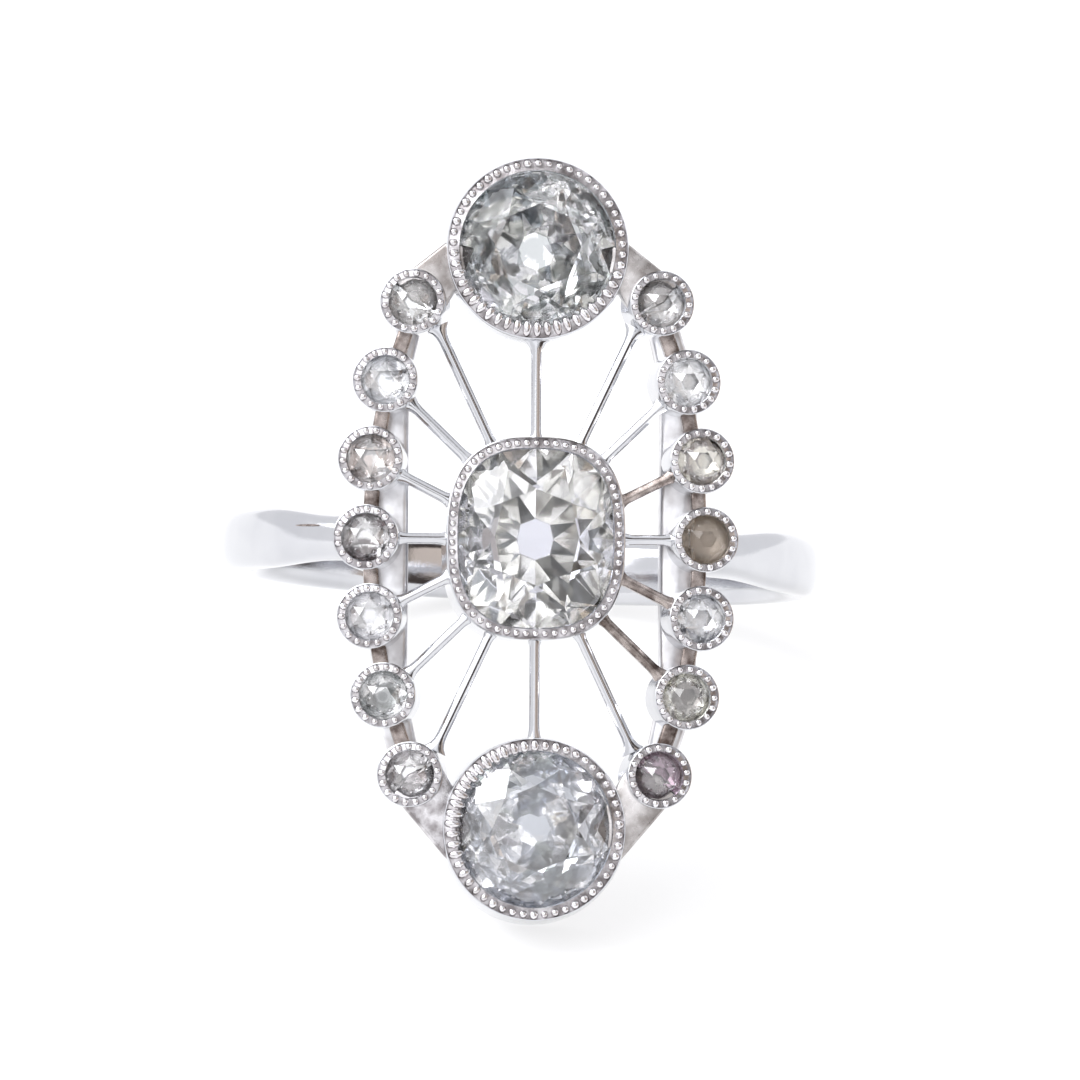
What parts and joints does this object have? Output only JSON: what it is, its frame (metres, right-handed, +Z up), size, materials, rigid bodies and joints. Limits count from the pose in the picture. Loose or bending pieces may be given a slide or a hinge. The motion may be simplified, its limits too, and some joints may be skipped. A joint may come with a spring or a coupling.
{
  "type": "navette ring",
  "caption": "Finger ring with a long openwork head of knife-edge spokes, a cushion-cut centre stone, a large round stone at each end and a row of small rose-cut stones down each side.",
  "frame": {"origin": "on the surface that the ring lies on, under the middle of its bounding box", "axes": "+Z up; the head faces -Y and tilts up, +Y goes from the lower end of the head to the back of the shank, and +X goes across the head to the right as seen from the front"},
  "size_m": [0.0196, 0.0246, 0.0218],
  "materials": {
    "metal": "polished",
    "clear_stone": "polished",
    "grey_stone": "polished",
    "rose_stone": "polished"
  },
  "bodies": {
    "root": {"ring_mount": "metal", "centre_stone": "clear_stone", "upper_stone": "grey_stone", "lower_stone": "grey_stone", "left_stone_1": "rose_stone", "left_stone_2": "rose_stone", "left_stone_3": "rose_stone", "left_stone_4": "rose_stone", "left_stone_5": "rose_stone", "left_stone_6": "rose_stone", "left_stone_7": "rose_stone", "right_stone_1": "rose_stone", "right_stone_2": "rose_stone", "right_stone_3": "rose_stone", "right_stone_4": "rose_stone", "right_stone_5": "rose_stone", "right_stone_6": "rose_stone", "right_stone_7": "rose_stone"}
  },
  "joints": []
}
